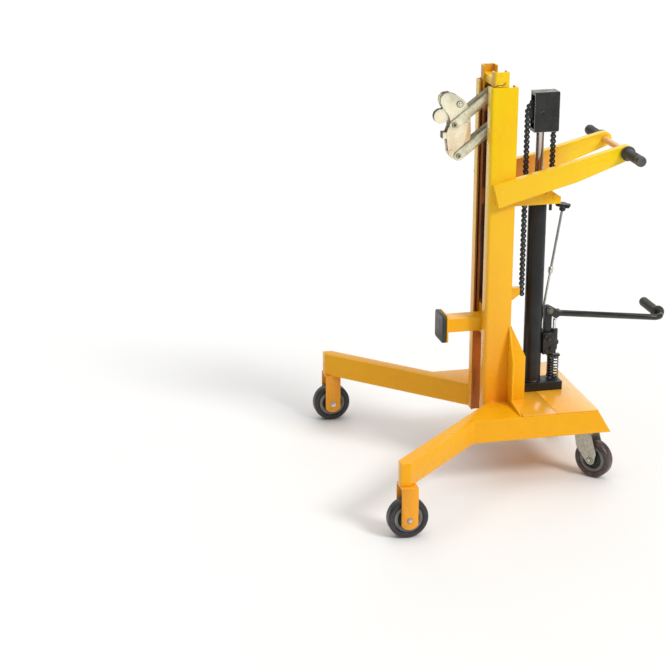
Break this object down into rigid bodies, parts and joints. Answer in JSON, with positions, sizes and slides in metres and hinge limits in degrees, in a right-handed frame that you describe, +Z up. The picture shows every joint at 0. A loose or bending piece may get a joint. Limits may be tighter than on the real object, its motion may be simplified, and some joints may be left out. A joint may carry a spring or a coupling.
{
  "type": "drum lifter",
  "caption": "Mobile hydraulic drum lifter with splayed front legs, telescopic mast, rim-gripping jaw on parallel links, chain lift, foot pump and push handle on castors.",
  "frame": {"origin": "on the floor, under the centre of the whole bounding box", "axes": "+X forward towards the drum, +Y to the operator's left, +Z up"},
  "size_m": [1.083, 1.072, 1.304],
  "materials": {
    "yellow_paint": "gloss machine enamel",
    "black_paint": "satin black paint",
    "chrome": "hard chrome, polished",
    "zinc_plate": "yellowish zinc plate",
    "chain_steel": "oiled dark steel",
    "spring_steel": "dark spring wire",
    "bolt_steel": "zinc plated",
    "dark_rubber": "matt moulded rubber",
    "tread_rubber": "smooth rubber tread",
    "hub_grey": "moulded grey nylon"
  },
  "bodies": {
    "base_frame": {"left_beam": "yellow_paint", "right_beam": "yellow_paint", "deck_front": "yellow_paint", "deck_rear": "yellow_paint", "front_cross_plate": "yellow_paint", "rear_cross_plate": "yellow_paint", "left_mast_channel": "yellow_paint", "right_mast_channel": "yellow_paint", "left_mast_gusset": "yellow_paint", "right_mast_gusset": "yellow_paint", "left_fork": "yellow_paint", "right_fork": "yellow_paint", "left_front_axle": "bolt_steel", "right_front_axle": "bolt_steel", "left_caster_plate": "zinc_plate", "right_caster_plate": "zinc_plate", "left_handle_arm": "yellow_paint", "right_handle_arm": "yellow_paint", "handle_bar": "yellow_paint", "left_grip": "dark_rubber", "right_grip": "dark_rubber", "cylinder_bracket": "yellow_paint", "cylinder_tube": "black_paint", "pump_base": "black_paint", "pump_barrel": "black_paint", "valve_block": "black_paint", "lever_bracket": "black_paint", "chain_anchor": "black_paint", "chain_rear_run": "chain_steel", "front_return_spring": "spring_steel", "rear_return_spring": "spring_steel"},
    "carriage": {"left_inner_channel": "yellow_paint", "right_inner_channel": "yellow_paint", "carriage_top_tie": "yellow_paint", "support_arm": "yellow_paint", "support_pad": "dark_rubber", "chain_lug": "yellow_paint", "chain_front_run": "chain_steel"},
    "ram": {"piston_rod": "chrome", "sprocket_housing": "black_paint", "chain_wrap": "chain_steel"},
    "chain_sprocket": {"sprocket": "chain_steel"},
    "top_link": {"upper_link": "zinc_plate"},
    "bottom_link": {"lower_link": "zinc_plate"},
    "head": {"gripper_head": "zinc_plate"},
    "jaw": {"grip_jaw": "zinc_plate"},
    "pedal_lever": {"foot_lever": "black_paint", "pedal_grip": "dark_rubber"},
    "pump_plunger": {"pump_piston": "chrome"},
    "release_valve_rod": {"release_rod": "black_paint"},
    "left_front_wheel": {"left_front_tyre": "tread_rubber", "left_front_hub": "hub_grey"},
    "right_front_wheel": {"right_front_tyre": "tread_rubber", "right_front_hub": "hub_grey"},
    "left_caster": {"left_caster_fork": "zinc_plate"},
    "right_caster": {"right_caster_fork": "zinc_plate"},
    "left_rear_wheel": {"left_rear_tyre": "tread_rubber", "left_rear_hub": "hub_grey"},
    "right_rear_wheel": {"right_rear_tyre": "tread_rubber", "right_rear_hub": "hub_grey"}
  },
  "joints": [
    {"name": "ram_lift", "type": "slide", "parent": "base_frame", "child": "ram", "axis": [0, 0, 1], "range_m": [-0.14, 0.15], "deforming": ["chain_rear_run"]},
    {"name": "carriage_lift", "type": "slide", "parent": "ram", "child": "carriage", "axis": [0, 0, 1], "range_m": [-0.14, 0.15], "deforming": ["chain_front_run"]},
    {"name": "sprocket_turn", "type": "hinge", "parent": "ram", "child": "chain_sprocket", "pos_m": [-0.0705, 0, 1.158], "axis": [0, 1, 0], "range_deg": [-200, 190]},
    {"name": "upper_link_pivot", "type": "hinge", "parent": "carriage", "child": "top_link", "pos_m": [0.0916, 0, 1.2309], "axis": [0, -1, 0], "range_deg": [0, 30]},
    {"name": "lower_link_pivot", "type": "hinge", "parent": "carriage", "child": "bottom_link", "pos_m": [0.0756, 0, 1.1329], "axis": [0, -1, 0], "range_deg": [0, 30]},
    {"name": "head_pivot", "type": "hinge", "parent": "top_link", "child": "head", "pos_m": [0.2146, 0, 1.1359], "axis": [0, 1, 0], "range_deg": [0, 30]},
    {"name": "jaw_pivot", "type": "hinge", "parent": "head", "child": "jaw", "pos_m": [0.1976, 0, 1.1999], "axis": [0, -1, 0], "range_deg": [0, 40]},
    {"name": "pedal_pivot", "type": "hinge", "parent": "base_frame", "child": "pedal_lever", "pos_m": [-0.121, 0, 0.512], "axis": [0, -1, 0], "range_deg": [0, 20], "stiffness_Nm_per_rad": 12, "springref_deg": -20.05},
    {"name": "plunger_stroke", "type": "slide", "parent": "base_frame", "child": "pump_plunger", "axis": [0, 0, 1], "range_m": [-0.008, 0], "deforming": ["front_return_spring", "rear_return_spring"]},
    {"name": "release_turn", "type": "hinge", "parent": "base_frame", "child": "release_valve_rod", "pos_m": [-0.1025, -0.0285, 0.4379], "axis": [-0.1537, 0, 0.9881], "range_deg": [0, 120]},
    {"name": "left_front_wheel_roll", "type": "hinge", "parent": "base_frame", "child": "left_front_wheel", "pos_m": [0.479, 0.4975, 0.0625], "axis": [0, 1, 0], "continuous": true},
    {"name": "right_front_wheel_roll", "type": "hinge", "parent": "base_frame", "child": "right_front_wheel", "pos_m": [0.479, -0.4975, 0.0625], "axis": [0, 1, 0], "continuous": true},
    {"name": "left_caster_swivel", "type": "hinge", "parent": "base_frame", "child": "left_caster", "pos_m": [-0.2045, 0.16, 0.15], "axis": [0, 0, 1], "continuous": true},
    {"name": "right_caster_swivel", "type": "hinge", "parent": "base_frame", "child": "right_caster", "pos_m": [-0.2045, -0.16, 0.15], "axis": [0, 0, 1], "continuous": true},
    {"name": "left_rear_wheel_roll", "type": "hinge", "parent": "left_caster", "child": "left_rear_wheel", "pos_m": [-0.227, 0.18681, 0.0625], "axis": [0.766, 0.6428, 0], "continuous": true},
    {"name": "right_rear_wheel_roll", "type": "hinge", "parent": "right_caster", "child": "right_rear_wheel", "pos_m": [-0.227, -0.18681, 0.0625], "axis": [-0.766, 0.6428, 0], "continuous": true}
  ],
  "couplings": [
    {"joint": "carriage_lift", "follows": "ram_lift", "ratio": 1},
    {"joint": "sprocket_turn", "follows": "ram_lift", "rad_per_m": -23.149},
    {"joint": "lower_link_pivot", "follows": "upper_link_pivot", "ratio": 1},
    {"joint": "head_pivot", "follows": "upper_link_pivot", "ratio": 1},
    {"joint": "plunger_stroke", "follows": "pedal_pivot", "m_per_rad": -0.0225}
  ]
}
